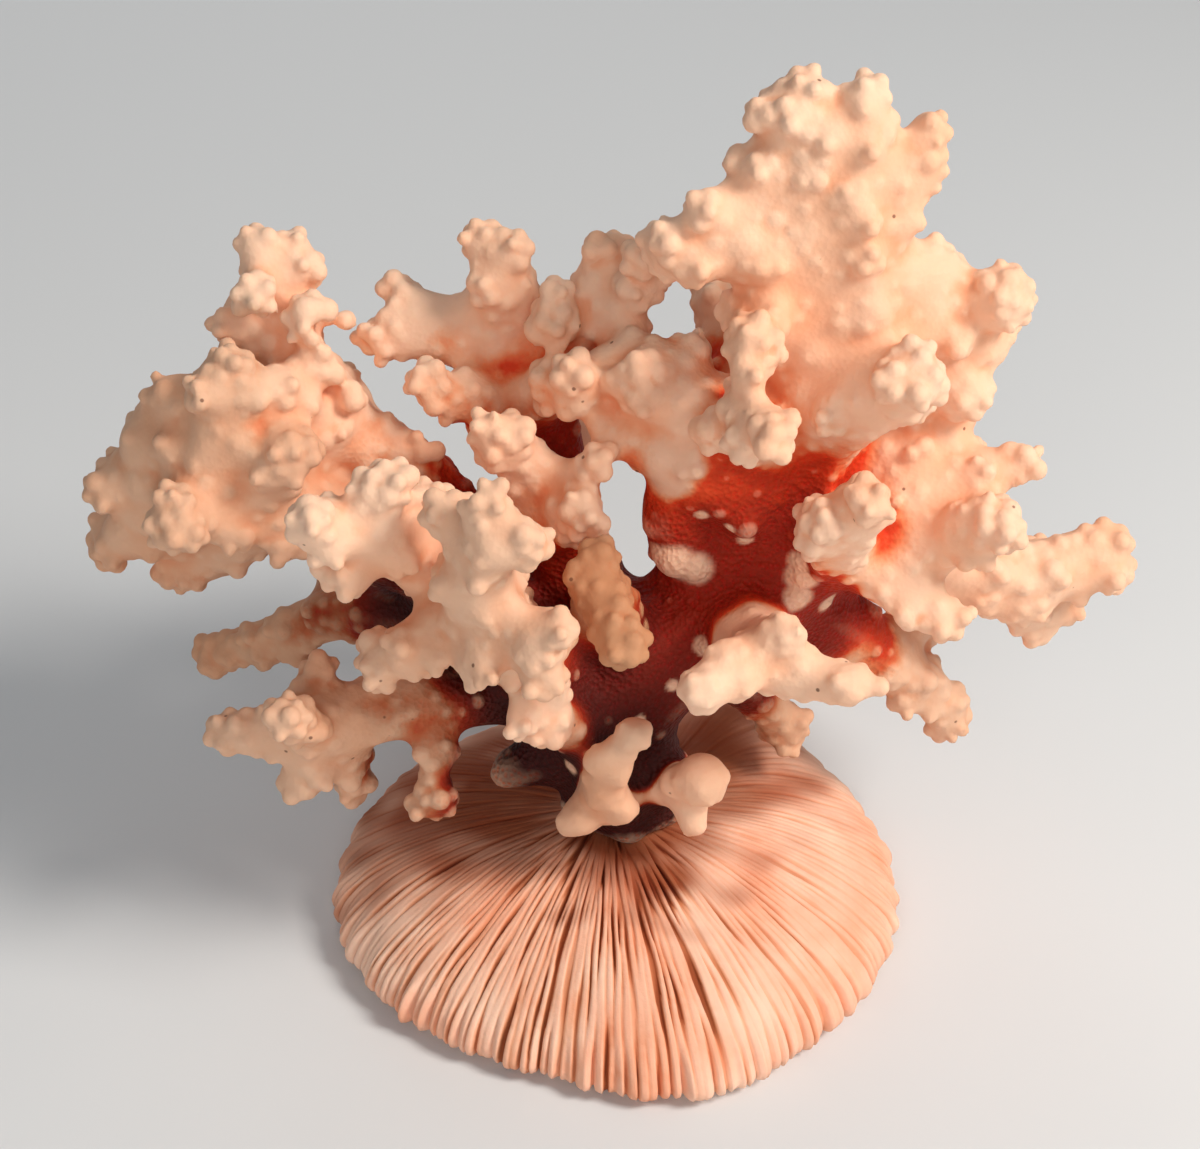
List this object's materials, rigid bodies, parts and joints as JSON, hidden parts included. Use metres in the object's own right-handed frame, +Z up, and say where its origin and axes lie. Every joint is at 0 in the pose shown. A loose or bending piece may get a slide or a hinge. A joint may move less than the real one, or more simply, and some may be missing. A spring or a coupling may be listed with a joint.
{
  "type": "branching coral on a mushroom coral base",
  "caption": "Branching coral skeleton with knobbly, forked branches, standing on a domed mushroom coral skeleton with radiating ridges.",
  "frame": {"origin": "on the surface it stands on, under the middle of the whole piece's box", "axes": "+Z up, -Y towards the front, +X to the viewer's right, along the colony's widest spread"},
  "size_m": [0.1802, 0.1098, 0.159],
  "materials": {
    "mushroom_coral_skeleton": "matt, radiating ridges, peach with browner hollows",
    "coral_heart": "matt, finely pitted, rust red to nearly black",
    "coral_branch": "matt, knobbly, cream to peach at the tips and rust orange inside"
  },
  "bodies": {
    "root": {"mushroom_coral_base": "mushroom_coral_skeleton", "trunk": "coral_heart", "tall_right_branch": "coral_branch", "right_crown_branch": "coral_branch", "right_arm_branch": "coral_branch", "low_right_branch": "coral_branch", "front_spur_branch": "coral_branch", "under_right_branch": "coral_branch", "upper_middle_branch": "coral_branch", "upper_left_branch": "coral_branch", "left_fan_branch": "coral_branch", "front_left_branch": "coral_branch", "front_middle_branch": "coral_branch", "centre_branch": "coral_branch", "front_drooping_branch": "coral_branch", "left_arm_branch": "coral_branch", "low_left_branch": "coral_branch", "front_bud": "coral_branch", "left_stub": "coral_branch", "right_stub": "coral_branch", "back_left_branch": "coral_branch", "back_middle_branch": "coral_branch", "back_right_branch": "coral_branch", "back_far_right_branch": "coral_branch", "back_low_left_branch": "coral_branch", "back_low_right_branch": "coral_branch"}
  },
  "joints": []
}
